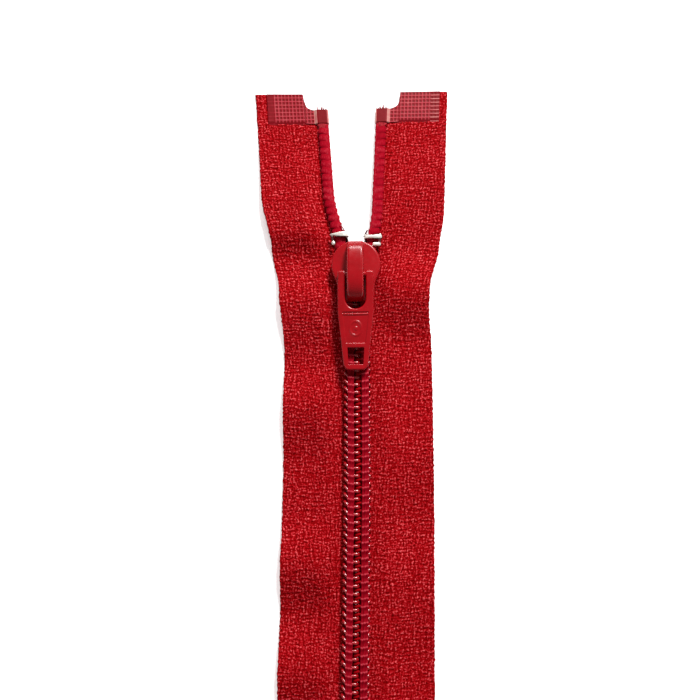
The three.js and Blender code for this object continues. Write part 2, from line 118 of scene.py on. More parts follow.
# How each tape runs: its side, how far it spreads above the slider and over what length, its slope and
# widening there, the margin its top film leaves bare, its seed, and its ripples (y, lift).
RUNS = {
    "left": dict(
        side=-1, spread=1.7, over=12, slope=0.08, flare=0.6, bare=1.75, seed=11,
        ripples=(
            (26, 0), (34, 0.1), (42, 1.3), (53, 0.15), (63.5, 1.9), (74, 0.1), (83.5, 2.3), (94, 0.5),
            (103, 0.3), (114.5, 2.3), (123.5, 0.2), (136, 2.4), (145.2, 0.1), (151.5, 2.0), (175, 0),
        ),
    ),
    "right": dict(
        side=1, spread=0.8, over=8, slope=0.045, flare=0.3, bare=1.2, seed=23,
        ripples=(
            (26, 0), (36, 0.3), (55, 0.9), (66, 0.3), (80, 1.0), (92, 0.3), (106, 1.2), (119, 0.4),
            (127, 0.1), (138, 2.9), (148, 0.3), (160, 0.6), (175, 0),
        ),
    ),
}

slider_low, slider_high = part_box("slider_body")
ORIGIN = np.array([
    (slider_low[0] + slider_high[0]) / 2 * MM,
    slider_high[1] * MM - MOUTH,
    cad_box[0][2] * MM,
])


# ---- numbers ----
def smooth(t):
    """Eased step from nought to one."""
    t = np.clip(t, 0, 1)
    return t * t * (3 - 2 * t)


def soft_min(a, b, k):
    """Smaller of two distances, with a fillet of about k where they meet."""
    h = np.clip(0.5 + 0.5 * (b - a) / k, 0, 1)
    return b + (a - b) * h - k * h * (1 - h)


def soft_max(a, b, k):
    """Larger of two distances, rounded by about k where they meet."""
    return -soft_min(-a, -b, k)


def band_noise(rows, cols, step, wave, seed, spread=0.18, squareness=0.0):
    """Smooth noise of about unit size whose bumps are `wave` apart, on a grid `step` apart.
    `squareness` favours level and upright ridges over slanting ones."""
    field = np.random.default_rng(seed).normal(size=(rows, cols))
    ky = np.fft.fftfreq(rows, step)[:, None]
    kx = np.fft.fftfreq(cols, step)[None, :]
    k = np.hypot(kx, ky) * wave
    keep = np.exp(squareness * np.cos(4 * np.arctan2(ky, kx)) - ((k - 1) ** 2) / spread)
    field = np.fft.ifft2(np.fft.fft2(field) * keep).real
    return field / field.std()


# ---- how the tapes run ----
def edge_at(run, y):
    """Distance from the centre line to a tape's inner edge."""
    s = y - MOUTH
    inside = THROAT * smooth((s + 9) / 9)
    above = run["spread"] * smooth((s + 1) / run["over"])
    return EDGE + inside + above + run["slope"] * np.maximum(0, s)


def width_at(run, y):
    """Width of a tape, a little wider at the open end and uneven beside the slider."""
    s = y - MOUTH
    if run["side"] < 0:
        belly = 0.6 * np.exp(-((s + 8) / 9) ** 2)
    else:
        belly = -0.35 * np.exp(-((s + 14) / 5) ** 2)
    return WIDTH + 0.1 + run["flare"] * smooth((s + 20) / 18) + belly * smooth((y - 20) / 20)


def sway_at(y):
    """Sideways wander of the whole chain below the slider."""
    to_right = 0.23 * smooth((138 - y) / 14) * smooth((y - 76) / 22)
    to_left = 0.22 * smooth((78 - y) / 18) * smooth((y - 22) / 25)
    return to_right - to_left


def place(run, u, y, z):
    """Point at distance u from a tape's inner edge, at height y along it."""
    u, y, z = np.broadcast_arrays(u, y, z)
    return np.stack([run["side"] * (edge_at(run, y) + u) + sway_at(y), y, z], axis=-1)


def wave_at(run, u, y):
    """Lift of the loose outer margin, which doesn't lie quite flat."""
    marks, lifts = np.array(run["ripples"]).T
    k = np.clip(np.searchsorted(marks, y, side="right") - 1, 0, len(marks) - 2)
    t = (y - marks[k]) / (marks[k + 1] - marks[k])
    lift = lifts[k] + (lifts[k + 1] - lifts[k]) * smooth(t)
    return lift * smooth((u - 2.6) / 6)


def chain_at(y):
    """Height of the tape's underside at its inner edge, which comes down above the slider."""
    return CHAIN_Z + (RELAXED_Z - CHAIN_Z) * smooth((y - 152) / 20)


def under_at(run, u, y):
    """Height of the tape's underside."""
    chain = chain_at(y)
    fall = smooth((u - 4.4) / 5.0)
    return chain + (MARGIN_Z - chain) * fall + wave_at(run, u, y)


def notch_at(u):
    """Depth of the rounded notch cut into a tape's inner top corner."""
    k = np.clip(u / NOTCH_WIDTH, 0, 1)
    return NOTCH_DEPTH * (1 - k ** 4) ** 0.25


def cut_shift(u, y):
    """How far the cut corner pulls a point of the tape down."""
    return notch_at(u) * smooth((y - 170) / (LENGTH - 170))


def skew_at(run, u, y):
    """The left tape was cut slightly out of square at the top."""
    return 0.035 * np.maximum(0, u - 5) * smooth((y - 168) / 14) * (run["side"] < 0)


# ---- mesh tools ----
def place_mesh(name, points, faces, finish, values=None):
    """Object from millimetre points and faces, with optional point attributes."""
    mesh = bpy.data.meshes.new(name)
    verts = (np.asarray(points, dtype=float).reshape(-1, 3) + ORIGIN) / MM
    sizes = np.array([len(f) for f in faces], dtype=np.int32)
    starts = np.cumsum(sizes) - sizes
    loops = np.concatenate([np.asarray(f, dtype=np.int32) for f in faces])
    mesh.vertices.add(len(verts))
    mesh.vertices.foreach_set("co", verts.ravel())
    mesh.loops.add(len(loops))
    mesh.loops.foreach_set("vertex_index", loops)
    mesh.polygons.add(len(sizes))
    mesh.polygons.foreach_set("loop_start", starts.astype(np.int32))
    mesh.polygons.foreach_set("loop_total", sizes)
    mesh.update(calc_edges=True)
    mesh.validate()
    mesh.polygons.foreach_set("use_smooth", np.ones(len(mesh.polygons), dtype=bool))
    for key, data in (values or {}).items():
        layer = mesh.attributes.new(key, "FLOAT", "POINT")
        layer.data.foreach_set("value", np.asarray(data, dtype=np.float32).ravel())
    obj = bpy.data.objects.new(name, mesh)
    bpy.context.scene.collection.objects.link(obj)
    obj.data.materials.append(finish.material)
    fix_normals(mesh, verts)
    return obj


def fix_normals(mesh, verts):
    """Turns a closed mesh outwards if its volume is negative."""
    mesh.calc_loop_triangles()
    tri = np.empty(len(mesh.loop_triangles) * 3, dtype=np.int32)
    mesh.loop_triangles.foreach_get("vertices", tri)
    a, b, c = verts[tri.reshape(-1, 3)].transpose(1, 0, 2)
    if np.einsum("ij,ij->i", a, np.cross(b, c)).sum() < 0:
        mesh.flip_normals()


def grid_faces(rows, cols):
    """Quads of a rows x cols grid whose rows close into rings."""
    r, c = np.meshgrid(np.arange(rows - 1), np.arange(cols), indexing="ij")
    a = r * cols + c
    b = r * cols + (c + 1) % cols
    return np.stack([a, b, b + cols, a + cols], axis=-1).reshape(-1, 4).tolist()


def join_meshes(parts):
    """One point array and one face list from several."""
    points, faces, start = [], [], 0
    for p, f in parts:
        p = np.asarray(p).reshape(-1, 3)
        points.append(p)
        faces.extend([[i + start for i in face] for face in f])
        start += len(p)
    return np.concatenate(points), faces


def zip_strip(top, low, top_u, low_u):
    """Triangles between two rows of points, in step with their positions."""
    faces, i, j = [], 0, 0
    while i + 1 < len(top) or j + 1 < len(low):
        step_top = j + 1 >= len(low) or (i + 1 < len(top) and top_u[i + 1] <= low_u[j + 1])
        if step_top:
            faces.append((top[i], top[i + 1], low[j]))
            i += 1
        else:
            faces.append((top[i], low[j + 1], low[j]))
            j += 1
    return faces


def tube(path, radius_a, radius_b, side, sides, twist=None):
    """Round or oval tube along a path; `side` is the direction of radius_a."""
    path = np.asarray(path, dtype=float)
    n = len(path)
    along = np.gradient(path, axis=0)
    along /= np.linalg.norm(along, axis=1)[:, None]
    side = np.broadcast_to(np.asarray(side, dtype=float), path.shape)
    a = side - np.einsum("ij,ij->i", side, along)[:, None] * along
    a /= np.linalg.norm(a, axis=1)[:, None]
    b = np.cross(along, a)
    angle = np.arange(sides) * 2 * math.pi / sides
    ra = np.broadcast_to(radius_a, n)[:, None] * np.ones(sides)
    rb = np.broadcast_to(radius_b, n)[:, None] * np.ones(sides)
    if twist is not None:
        plies = 1 + 0.13 * np.cos(2 * (angle[None, :] - twist[:, None]))
        ra, rb = ra * plies, rb * plies
    ring = (ra * np.cos(angle))[..., None] * a[:, None] + (rb * np.sin(angle))[..., None] * b[:, None]
    points = path[:, None] + ring
    faces = grid_faces(n, sides)
    faces.append(tuple(range(sides)))
    faces.append(tuple(range((n - 1) * sides, n * sides))[::-1])
    return points.reshape(-1, 3), faces


# ---- solids from distance fields ----
def outline_distance(outline, x, y):
    """Signed distance to a closed outline, negative inside."""
    x, y = np.broadcast_arrays(x, y)
    best = np.full(x.shape, np.inf)
    inside = np.zeros(x.shape, dtype=bool)
    for (ax, ay), (bx, by) in zip(outline, outline[1:] + outline[:1]):
        ex, ey = bx - ax, by - ay
        wx, wy = x - ax, y - ay
        length = ex * ex + ey * ey
        if length < 1e-12:
            continue
        t = np.clip((wx * ex + wy * ey) / length, 0, 1)
        best = np.minimum(best, (wx - ex * t) ** 2 + (wy - ey * t) ** 2)
        if ay != by:
            inside ^= ((ay <= y) != (by <= y)) & (wx < ex * wy / ey)
    return np.where(inside, -1, 1) * np.sqrt(best)


def plate(flat, height, low, high, r):
    """Flat outline distance carried up between two heights, with edges rounded to radius r."""
    a = flat + r
    b = np.abs(height - (low + high) / 2) - (high - low) / 2 + r
    return np.minimum(np.maximum(a, b), 0) + np.hypot(np.maximum(a, 0), np.maximum(b, 0)) - r


def slab(outline, x, y, height, low, high, r):
    """Plate with a closed outline."""
    return plate(outline_distance(outline, x, y), height, low, high, r)


def brick(x, y, z, low, high, r):
    """Distance to a box with rounded edges."""
    flat = plate(np.abs(x - (low[0] + high[0]) / 2) - (high[0] - low[0]) / 2, y, low[1], high[1], r)
    return plate(flat, z, low[2], high[2], r)


def settle(points, field, step):
    """Moves points onto the surface where a field is zero, in a few Newton steps."""
    h = step * 0.25
    shifts = h * np.eye(3)
    for _ in range(3):
        f = field(*points.T)
        rises = [field(*(points + shift).T) - field(*(points - shift).T) for shift in shifts]
        grad = np.stack(rises, -1) / (2 * h)
        size = np.maximum(np.einsum("ij,ij->i", grad, grad), 0.25)
        move = -(f / size)[:, None] * grad
        points = points + np.clip(move, -step / 2, step / 2)
    return points


def quads_round(axis, cross, inside, index):
    """One quad, facing out, round each grid edge along an axis that the surface crosses."""
    others = [i for i in range(3) if i != axis]
    where = np.argwhere(cross)
    flip = inside[tuple(where.T)] ^ (axis == 1)
    corners = []
    for da, db in ((1, 1), (0, 1), (0, 0), (1, 0)):
        cell = where.copy()
        cell[:, others[0]] -= da
        cell[:, others[1]] -= db
        corners.append(index[tuple(cell.T)])
    quad = np.stack(corners, -1)
    return np.where(flip[:, None], quad, quad[:, ::-1])


def solid(field, low, high, step):
    """Points and quads of the surface where field(x, y, z) is zero, which the box must hold whole.
    Each grid cell that the surface crosses gets one point, at the mean of its edges' crossings."""
    low, high = np.array([low, high], dtype=float)
    count = np.ceil((high - low) / step).astype(int) + 1
    axes = [low[i] + step * np.arange(count[i]) for i in range(3)]
    x, y, z = np.meshgrid(*axes, indexing="ij", sparse=True)
    values = np.broadcast_to(field(x, y, z), tuple(count))
    cells = tuple(count - 1)
    total, hits = np.zeros((*cells, 3)), np.zeros(cells)
    crossings = []
    for axis in range(3):
        a = np.take(values, range(count[axis] - 1), axis)
        b = np.take(values, range(1, count[axis]), axis)
        cross = (a < 0) != (b < 0)
        crossings.append((axis, cross, a < 0))
        t = np.where(cross, a / np.where(cross, a - b, 1), 0)
        where = np.moveaxis(np.indices(cross.shape), 0, -1).astype(float)
        where[..., axis] += t
        for shift in np.ndindex(*[1 if i == axis else 2 for i in range(3)]):
            source = tuple(slice(s, s + n) for s, n in zip(shift, cells))
            total += where[source] * cross[source][..., None]
            hits += cross[source]
    used = hits > 0
    index = np.full(cells, -1)
    index[used] = np.arange(used.sum())
    points = low + step * total[used] / hits[used][:, None]
    faces = [quads_round(*crossing, index) for crossing in crossings]
    return settle(points, field, step), np.concatenate(faces)


# ---- materials ----
class Nodes:
    """Short way to write a material's node tree."""

    def __init__(self, name, **settings):
        self.material = bpy.data.materials.new(name)
        self.material.use_nodes = True
        self.tree = self.material.node_tree
        self.shader = self.tree.nodes["Principled BSDF"]
        for key, value in settings.items():
            self.shader.inputs[key.replace("_", " ")].default_value = value

    def add(self, kind, **settings):
        """New node; a setting is one of its properties or, failing that, one of its inputs."""
        node = self.tree.nodes.new("ShaderNode" + kind)
        for key, value in settings.items():
            if key in node.bl_rna.properties:
                setattr(node, key, value)
            else:
                node.inputs[key.replace("_", " ")].default_value = value
        return node

    def link(self, a, b):
        self.tree.links.new(a, b)

    def noise(self, scale, detail=2.0, stretch=None):
        """Noise with so many bumps to a metre."""
        node = self.add("TexNoise", Scale=scale, Detail=detail)
        source = self.add("TexCoord").outputs["Object"]
        if stretch:
            mapping = self.add("Mapping", Scale=stretch)
            self.link(source, mapping.inputs["Vector"])
            source = mapping.outputs["Vector"]
        self.link(source, node.inputs["Vector"])
        return node.outputs["Fac"]

    def math(self, operation, *values):
        """Sum of the kind named; the values are numbers or other nodes' outputs."""
        node = self.add("Math", operation=operation)
        for socket, value in zip(node.inputs, values):
            if isinstance(value, (int, float)):
                socket.default_value = value
            else:
                self.link(value, socket)
        return node.outputs[0]

    def colour(self, source, *stops):
        """Base colour for a value, from (value, colour) stops."""
        node = self.add("ValToRGB")
        elements = node.color_ramp.elements
        while len(elements) < len(stops):
            elements.new(0.5)
        for element, (at, colour) in zip(elements, stops):
            element.position = at
            element.color = (*colour, 1)
        self.link(source, node.inputs["Fac"])
        self.link(node.outputs["Color"], self.shader.inputs["Base Color"])

    def attribute(self, name):
        return self.add("Attribute", attribute_name=name).outputs["Fac"]

    def rough(self, source, low, high):
        """Roughness between two limits."""
        node = self.add("MapRange", To_Min=low, To_Max=high)
        self.link(source, node.inputs["Value"])
        self.link(node.outputs["Result"], self.shader.inputs["Roughness"])

    def bump(self, source, distance, strength):
        """Fine relief in the shading; the distance is in metres."""
        node = self.add("Bump", Strength=strength, Distance=distance)
        self.link(source, node.inputs["Height"])
        self.link(node.outputs["Normal"], self.shader.inputs["Normal"])


def tape_fabric():
    """Dyed polyester crepe with fine filaments; the woven relief colours it, with painted shade in the
    dark pores and a pinkish painted highlight on the light ridges.
    """
    m = Nodes("red_crepe_tape", Roughness=0.9, Specular_IOR_Level=0.03)
    weave = m.attribute("weave")
    fine = m.noise(5200, 3.0)
    speck = m.noise(3600)
    patches = m.noise(160)
    # Painted light: the weave value darkens the pores as painted shade and lightens the ridges as
    # painted highlight; the specks and patches are the dye's own unevenness.
    level = m.math("MULTIPLY_ADD", weave, 0.34, m.math("MULTIPLY_ADD", speck, 1.7, -0.5))
    level = m.math("ADD", level, m.math("MULTIPLY", m.math("ADD", fine, patches), 0.14))
    m.colour(
        level,
        (0, (0.11, 0, 0)),
        (0.3, (0.215, 0, 0.001)),
        (0.55, (0.32, 0.001, 0.003)),
        (0.74, (0.47, 0.013, 0.021)),
        (1, (0.76, 0.11, 0.118)),
    )
    m.rough(fine, 0.7, 0.95)
    threads = m.noise(9000, 1.0, stretch=(1, 0.35, 1))
    m.bump(m.math("ADD", fine, m.math("MULTIPLY", threads, 0.6)), 0.00006, 0.7)
    return m


def nylon():
    """Monofilament: glossy, slightly uneven in dye, and dull where it lies low between the coils, where
    painted shade also darkens it.
    """
    gloss = 0.9
    m = Nodes("red_nylon_filament", Roughness=0.24, Specular_IOR_Level=gloss)
    deep_shade = m.attribute("deep_shade")
    # Painted shade: the colour is pulled darker where the right coil's heads lie between the left ones.
    shade = m.math("SUBTRACT", m.noise(420), deep_shade)
    m.colour(
        shade,
        (0, (0.33, 0, 0.003)),
        (0.3, (0.3, 0, 0.004)),
        (0.7, (0.39, 0.002, 0.007)),
    )
    dull = m.math("MULTIPLY_ADD", deep_shade, 1.5, m.math("MULTIPLY", m.noise(3000), 0.2))
    m.rough(dull, 0.16, 0.9)
    m.link(m.math("MULTIPLY_ADD", deep_shade, -1.7, gloss), m.shader.inputs["Specular IOR Level"])
    m.bump(m.noise(5200), 0.00001, 0.4)
    return m


def cord_fibre():
    """Matt filler cord of loosely twisted fibres."""
    m = Nodes("red_filler_cord", Roughness=0.9, Specular_IOR_Level=0.2)
    braid = m.noise(2600, 3.0, stretch=(1, 0.4, 1))
    m.colour(braid, (0.3, (0.15, 0.001, 0.004)), (0.75, (0.4, 0.02, 0.03)))
    m.bump(braid, 0.00010, 0.8)
    return m


def thread():
    """Twisted polyester sewing thread. Its colour value holds the twisted plies, a painted highlight on
    each hump and crest, and painted shade on the bead loops' side by the tape.
    """
    m = Nodes("red_sewing_thread", Roughness=0.75, Specular_IOR_Level=0.05)
    plies = m.attribute("ply_and_painted_light")
    fibre = m.noise(6500, 3.0, stretch=(1, 0.3, 1))
    level = m.math("MULTIPLY_ADD", fibre, 0.5, m.math("MULTIPLY_ADD", plies, 0.4, 0.02))
    m.colour(
        level,
        (0.15, (0.19, 0, 0.004)),
        (0.5, (0.33, 0, 0.01)),
        (0.85, (0.6, 0.06, 0.085)),
    )
    m.bump(fibre, 0.00004, 0.6)
    return m


def film():
    """Film welded over the cloth, pressed into a fine square grid; its lightest colour also serves as a
    painted highlight where the film folds.
    """
    m = Nodes("embossed_end_film", Roughness=0.5, Specular_IOR_Level=0.12)
    grid = m.attribute("grid")
    stain = m.noise(900, 3.0)
    level = m.math("MULTIPLY_ADD", stain, 0.3, m.math("MULTIPLY_ADD", grid, 0.6, -0.05))
    m.colour(
        level,
        (0.05, (0.16, 0, 0.002)),
        (0.35, (0.225, 0.001, 0.007)),
        (0.68, (0.44, 0.036, 0.052)),
        (0.9, (0.6, 0.33, 0.28)),
    )
    m.rough(stain, 0.38, 0.6)
    m.bump(m.noise(2500), 0.00003, 0.5)
    return m


def enamel():
    """Baked red enamel on a die-cast body, with a little orange peel and thin spots."""
    m = Nodes("red_enamel", Roughness=0.24, Specular_IOR_Level=0.4)
    shade = m.noise(300, 3.0)
    m.colour(shade, (0.25, (0.285, 0, 0.003)), (0.75, (0.385, 0, 0.005)))
    m.rough(m.noise(1400, 3.0), 0.18, 0.32)
    m.bump(m.noise(1100), 0.00002, 0.5)
    return m


def silver():
    """Bright metal, drawn and crimped, with fine marks; the stops' painted shade pulls it down to a
    dark reddish colour.
    """
    m = Nodes("bright_metal", Metallic=0.4, Roughness=0.2)
    marks = m.noise(1500, 4.0, stretch=(0.3, 1, 1))
    level = m.math("SUBTRACT", marks, m.attribute("painted_shade"))
    m.colour(
        level,
        (0, (0.11, 0.03, 0.03)),
        (0.3, (0.82, 0.78, 0.7)),
        (0.7, (0.99, 0.96, 0.87)),
    )
    m.rough(marks, 0.12, 0.34)
    m.bump(marks, 0.00003, 0.5)
    return m


def spring_steel():
    """Grey steel strip with fine rolling marks."""
    m = Nodes("spring_steel_strip", Metallic=1.0, Roughness=0.3)
    marks = m.noise(1800, 3.0, stretch=(1, 0.2, 1))
    m.colour(marks, (0.3, (0.36, 0.36, 0.37)), (0.7, (0.58, 0.58, 0.6)))
    m.rough(marks, 0.22, 0.42)
    return m


TAPE, NYLON, CORD, THREAD = tape_fabric(), nylon(), cord_fibre(), thread()
FILM, ENAMEL, SILVER, STEEL = film(), enamel(), silver(), spring_steel()


# ---- cloth parts ----
TAPE_ROWS = 940  # mesh rows along a tape, and points across its face and its back
TAPE_COLUMNS = 80
TAPE_BACK = 13
WIRE_SIDES = 12
THREAD_SIDES = 12
LOOP_SIDES = 14


def crepe(run):
    """The face's woven relief, its broader lumps, and the unevenness of the tape's outer edge."""
    step = WIDTH / (TAPE_COLUMNS - 1) / 2
    grid = (2 * TAPE_ROWS, 2 * TAPE_COLUMNS, step)
    maze = band_noise(*grid, 0.66, run["seed"], 0.45, 0.7)[::2, ::2]
    lumps = band_noise(*grid, 1.6, run["seed"] + 1)[::2, ::2]
    speck = band_noise(TAPE_ROWS, TAPE_COLUMNS, 2 * step, 0.45, run["seed"] + 2)
    wobble = band_noise(TAPE_ROWS, 4, 2 * step, 0.9, run["seed"] + 3)[:, :1]
    return np.tanh(0.9 * maze + 0.2 * speck), lumps, wobble


def tape(run, name):
    """Woven tape: crepe face with real relief, plain back, cut and notched top end."""
    y = np.linspace(0, LENGTH, TAPE_ROWS)[:, None]
    face = np.linspace(0, 1, TAPE_COLUMNS)
    under_notch = NOTCH_WIDTH / WIDTH * np.array([1, 0.985, 0.95, 0.85, 0.65, 0.35, 0])
    back = np.concatenate([np.linspace(1, 0.35, 6), under_notch])
    weave, lumps, wobble = crepe(run)
    width = width_at(run, y)
    u = face[None, :] * (width + 0.05 * wobble)
    calm = smooth(u / 0.4) * smooth((width - u) / 0.3)
    press = smooth((y - LENGTH + TOP_FILM) / 0.5) + smooth((BOTTOM_FILM - y) / 0.5) * (u > 4.0)
    relief = (0.085 * weave + 0.02 * lumps) * calm * (1 - 0.8 * press)
    round_off = 0.16 * (1 - smooth(u / 0.3)) + 0.16 * (1 - smooth((width - u) / 0.25))
    top = under_at(run, u, y) + THICK - 0.07 + relief - 0.05 * press - round_off
    front = place(run, u, y - cut_shift(u, y) + skew_at(run, u, y), top)
    ub = back[None, :] * (width - 0.08) + 0.04
    rear = place(run, ub, y - cut_shift(ub, y) + skew_at(run, ub, y), under_at(run, ub, y) + 0.03)
    ring = TAPE_COLUMNS + TAPE_BACK
    faces = grid_faces(TAPE_ROWS, ring)
    for row in (0, TAPE_ROWS - 1):
        first = row * ring
        top_row = [first + i for i in range(TAPE_COLUMNS)]
        low_row = [first + ring - 1 - i for i in range(TAPE_BACK)]
        strip = zip_strip(top_row, low_row, face, back[::-1])
        faces.extend(strip if row else [f[::-1] for f in strip])
    # The weave value also colours the face: painted shade in the pores and painted highlight on the
    # ridges.
    value = np.zeros((TAPE_ROWS, ring))
    value[:, :TAPE_COLUMNS] = weave * calm
    return place_mesh(name, np.concatenate([front, rear], axis=1), faces, TAPE, {"weave": value})


def coil_start(run):
    """Where a coil starts along y: the right one half a pitch later, to interlock."""
    return COIL_START + (PITCH / 2 if run["side"] > 0 else 0)


def coil_loop():
    """One turn of the filament: distance along it, u, height, and share of the climb to the next turn.
    It runs over the top from the head, round the outer bend, where it climbs, and back underneath."""
    reach = (LEG_HIGH - LEG_LOW) / 2
    tip = WIRE * math.sqrt(2)
    outer = COIL_OUTER - COIL_SPARE - tip - EDGE - reach
    head = tip - COIL_HEAD - EDGE + reach
    leg = outer - head
    bend = math.pi * reach
    marks = np.cumsum([0, bend / 2, leg, bend, leg, bend / 2])
    d = np.linspace(0, marks[-1], 401)
    angle = math.pi * np.interp(d, marks, [-0.5, 0, 0, 1, 1, 1.5])
    along = np.interp(d, marks, [0, 0, leg, leg, 0, 0])
    squared = np.sign(np.cos(angle)) * np.abs(np.cos(angle)) ** 0.45
    from_bend = d - marks[2] + 0.35
    pace = 0.09 + 0.91 * smooth(from_bend / 0.25) * (1 - 0.8 * smooth((from_bend - 0.95) / 0.8))
    pace *= d < marks[3]
    climb = np.cumsum(pace) / pace.sum()
    return d, head + along + reach * np.sin(angle), CORD_Z + reach * squared, climb


def coil_path(run):
    """Axis of the whole filament, and its distance from the tape's edge."""
    d, loop_u, loop_z, climb = coil_loop()
    rng = np.random.default_rng(run["seed"] + 40)
    jitter = rng.normal(0, 1, TURNS + 2)
    t = np.arange(TURNS * 32 + 1) / 32
    turn = np.floor(t).astype(int)
    place_in_loop = (t - turn) * d[-1]
    u = np.interp(place_in_loop, d, loop_u) + 0.012 * jitter[turn]
    z = np.interp(place_in_loop, d, loop_z)
    rise = np.interp(place_in_loop, d, climb)
    drift = 0.014 * (jitter[turn] * (1 - rise) + jitter[turn + 1] * rise)
    y = coil_start(run) + (turn + rise) * PITCH + drift
    if run["side"] > 0:
        z = z - HEAD_DIP * smooth((1.15 - u) / 1.0) * (z - LEG_LOW) / (LEG_HIGH - LEG_LOW)
    return place(run, u, y, z), u


def coil(run, name):
    """Coil of one continuous filament, pressed wider at the heads."""
    path, u = coil_path(run)
    bulge = smooth((0.25 - u) / 0.4)
    along, across = WIRE * (1 + 0.31 * bulge), WIRE * (1 - 0.05 * bulge)
    points, faces = tube(path, along, across, (0, 1, 0), WIRE_SIDES)
    # Painted shade on the right coil's heads, which lie in the shade of the left ones: this mask
    # darkens their colour and dulls them.
    deep_shade = 0.5 * smooth((0.9 - u) / 0.5) if run["side"] > 0 else 0 * u
    return place_mesh(name, points, faces, NYLON, {"deep_shade": np.repeat(deep_shade, WIRE_SIDES)})


def cord_at(y):
    """Core cord at height y: distance from the tape's edge, centre height, half width, half height."""
    leave = smooth((y - BEAD_START) / 0.7)
    press = smooth((y - LENGTH + TOP_FILM + 1.2) / 1.1)
    half = 0.31 + 0.18 * leave - 0.29 * press
    z = CORD_Z + (chain_at(y) + THICK + 0.02 + half - CORD_Z) * leave
    return 1.08 + 0.02 * leave + 0.05 * press, z, 0.56 + 0.44 * leave + 0.1 * press, half


def cord_spot(y):
    """The same four values at one place, as plain numbers."""
    return [float(v) for v in cord_at(np.array(y))]


def cut_fibres(run):
    """Short loose fibres that stick out of the core cord's cut end."""
    rng = np.random.default_rng(run["seed"] + 60)
    foot = LENGTH - NOTCH_DEPTH - 0.5
    u, z, wide, half = cord_spot(foot)
    t = np.linspace(0, 1, 6)
    radius = 0.13 - 0.08 * t
    fibres = []
    for spot in np.linspace(-0.85, 0.85, CUT_FIBRES):
        lean = rng.normal(0, 0.2)
        length = rng.uniform(0.7, 1.5)
        height = rng.uniform(-0.4, 0.6) * half
        path = place(run, u + spot * wide + lean * t * t, foot + length * t, z + height + 0.1 * t)
        fibres.append(tube(path, radius, radius, (1, 0, 0), 6))
    return fibres


def core_cord(run, name):
    """Filler cord inside the coil and the bead, with a slight twist and its loose fibres."""
    ys = np.linspace(COIL_START - 0.25, LENGTH - NOTCH_DEPTH - 0.1, 1100)
    u, z, wide, half = cord_at(ys)
    lump = 1 + 0.05 * np.sin(ys * 2 * math.pi / 0.9)
    cord = tube(place(run, u, ys, z), wide * lump, half * lump, (1, 0, 0), 16, twist=ys * 3.0)
    points, faces = join_meshes([cord, *cut_fibres(run)])
    return place_mesh(name, points, faces, CORD)


def thread_row(run, row, at):
    """Mesh and colour values of one row of thread, which humps over the coil's legs and ends in the
    bead: the twisted plies, with a painted highlight on each hump.
    """
    ys = np.arange(COIL_START, ROWS_END, 0.1)
    _, z, _, half = cord_at(ys)
    phase = (ys - coil_start(run)) * 2 * math.pi / PITCH
    height = ROW_Z + 0.07 * np.cos(phase - 0.35 * row) - 0.07 * abs(row - 1)
    dive = smooth((ys - 146.5) / 0.6)
    path = place(run, at + 0.025 * np.sin(phase + row), ys, height + (z + half - 0.1 - height) * dive)
    twist = ys * 2.2 + 1.3 * row
    angle = np.arange(THREAD_SIDES) * 2 * math.pi / THREAD_SIDES
    strands = np.cos(2 * (angle[None, :] - twist[:, None]))
    # Painted highlight: a thin light line where the thread crests over each leg.
    hump = 0.5 + 0.5 * np.cos(phase[:, None] - 0.35 * row)
    mesh = tube(path, 0.28, 0.17, (1, 0, 0), THREAD_SIDES, twist=twist)
    return mesh, 0.14 * strands + 1.35 * hump ** 9


def bead_loop(run, y, rng):
    """Mesh and colour values of one flat loop of thread over the bead, with a painted highlight on its
    top and painted shade on its half by the tape.
    """
    u, z, wide, half = cord_spot(y)
    across = np.linspace(-1.1, 1.1, 19)
    lean = 0.22 + 0.1 * rng.normal()
    lift = z + (half + 0.02) * np.sqrt(np.maximum(0, 1 - (across / 1.12) ** 2))
    path = place(run, u + wide * 0.95 * across, y + lean * across, lift)
    thick = 0.2 * np.sqrt(np.maximum(0.2, 1 - (across / 1.2) ** 2))
    mesh = tube(path, 0.8 + 0.04 * rng.normal(), thick, (0, 1, 0), LOOP_SIDES)
    # Painted light: the loop's top is lighter as a painted highlight, and its half by the tape darker
    # as painted shade.
    crest = np.abs(np.sin(np.arange(LOOP_SIDES) * 2 * math.pi / LOOP_SIDES))[None, :] ** 3
    side = smooth((0.6 - across) / 1.2)[:, None]
    return mesh, 0.05 + 0.1 * rng.normal() + 0.62 * np.maximum(crest, side)


def edge_thread(run):
    """Mesh and one even colour value of the thread that lies along the bead's inner edge."""
    ys = np.arange(WINDING_START - 0.4, LENGTH - TOP_FILM - 0.6, 0.2)
    u, z, wide, half = cord_at(ys)
    mesh = tube(place(run, u - 0.7 * wide, ys, z + 0.5 * half), 0.38, 0.3, (1, 0, 0), THREAD_SIDES)
    return mesh, np.full(len(mesh[0]), 0.6)


def stitching(run, name):
    """Rows of thread over the coil's legs, loops of it round the bead above, and one along the bead."""
    rows = (0.62, 1.0, 1.38) if run["side"] < 0 else (0.82, 1.27, 1.72)
    threads = [thread_row(run, row, at) for row, at in enumerate(rows)]
    rng = np.random.default_rng(run["seed"] + 60)
    for y in np.arange(WINDING_START, LENGTH - TOP_FILM - 1.3, PITCH):
        threads.append(bead_loop(run, y, rng))
    threads.append(edge_thread(run))
    points, faces = join_meshes([mesh for mesh, _ in threads])
    plies = np.concatenate([ply_and_painted_light.ravel() for _, ply_and_painted_light in threads])
    return place_mesh(name, points, faces, THREAD, {"ply_and_painted_light": plies})


